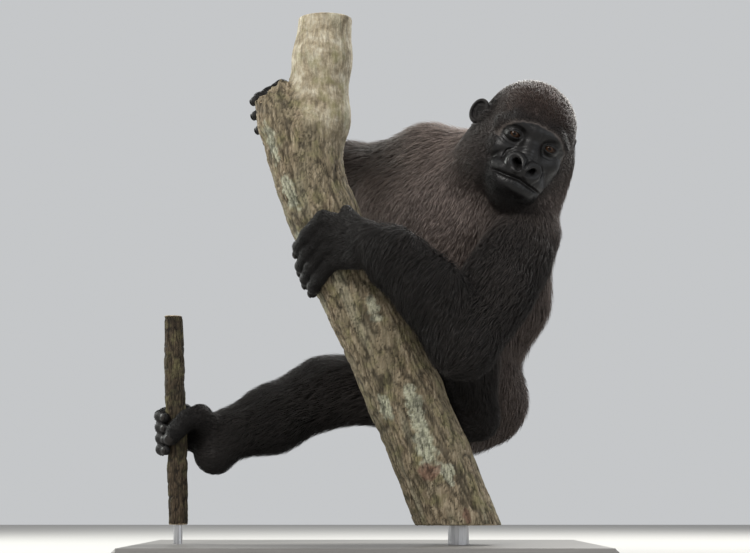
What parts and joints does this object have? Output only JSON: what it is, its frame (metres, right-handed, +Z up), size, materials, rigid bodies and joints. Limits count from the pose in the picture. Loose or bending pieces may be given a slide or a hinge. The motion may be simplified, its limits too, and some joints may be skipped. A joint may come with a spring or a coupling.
{
  "type": "gorilla model",
  "caption": "Life-size model of a young western lowland gorilla clinging to a leaning forked tree trunk, one foot on a thin stem, on a flat display stand.",
  "frame": {"origin": "middle of the underside of the stand's base", "axes": "+Z up, the trunk's foot to its top; the animal clings to the +X side of the leaning trunk and faces -Y; +X is the animal's back and the viewer's right"},
  "size_m": [0.72, 0.6, 0.8532],
  "materials": {
    "coat": "long dark grey-brown hair, lighter on the shoulders, chest and flank, red-brown on the crown",
    "bare_skin": "black creased skin with a satin sheen",
    "eye": "dark brown, wet gloss",
    "bark": "tan-brown finely fissured bark with pale lichen patches",
    "dark_bark": "rough dark brown bark",
    "stand_board": "plain painted board, satin",
    "stand_steel": "brushed"
  },
  "bodies": {
    "root": {"belly": "coat", "chest": "coat", "ear_left": "bare_skin", "ear_right": "bare_skin", "eye_left": "eye", "eye_right": "eye", "foot_left": "coat", "foot_right": "coat", "forearm_left": "coat", "forearm_right": "coat", "hand_left": "coat", "hand_right": "coat", "head": "coat", "neck": "coat", "pelvis": "coat", "perch_stem": "dark_bark", "perch_trunk": "bark", "shank_left": "coat", "shank_right": "coat", "stand_base": "stand_board", "stand_rod_stem": "stand_steel", "stand_rod_trunk": "stand_steel", "thigh_left": "coat", "thigh_right": "coat", "upper_arm_left": "coat", "upper_arm_right": "coat"}
  },
  "joints": []
}
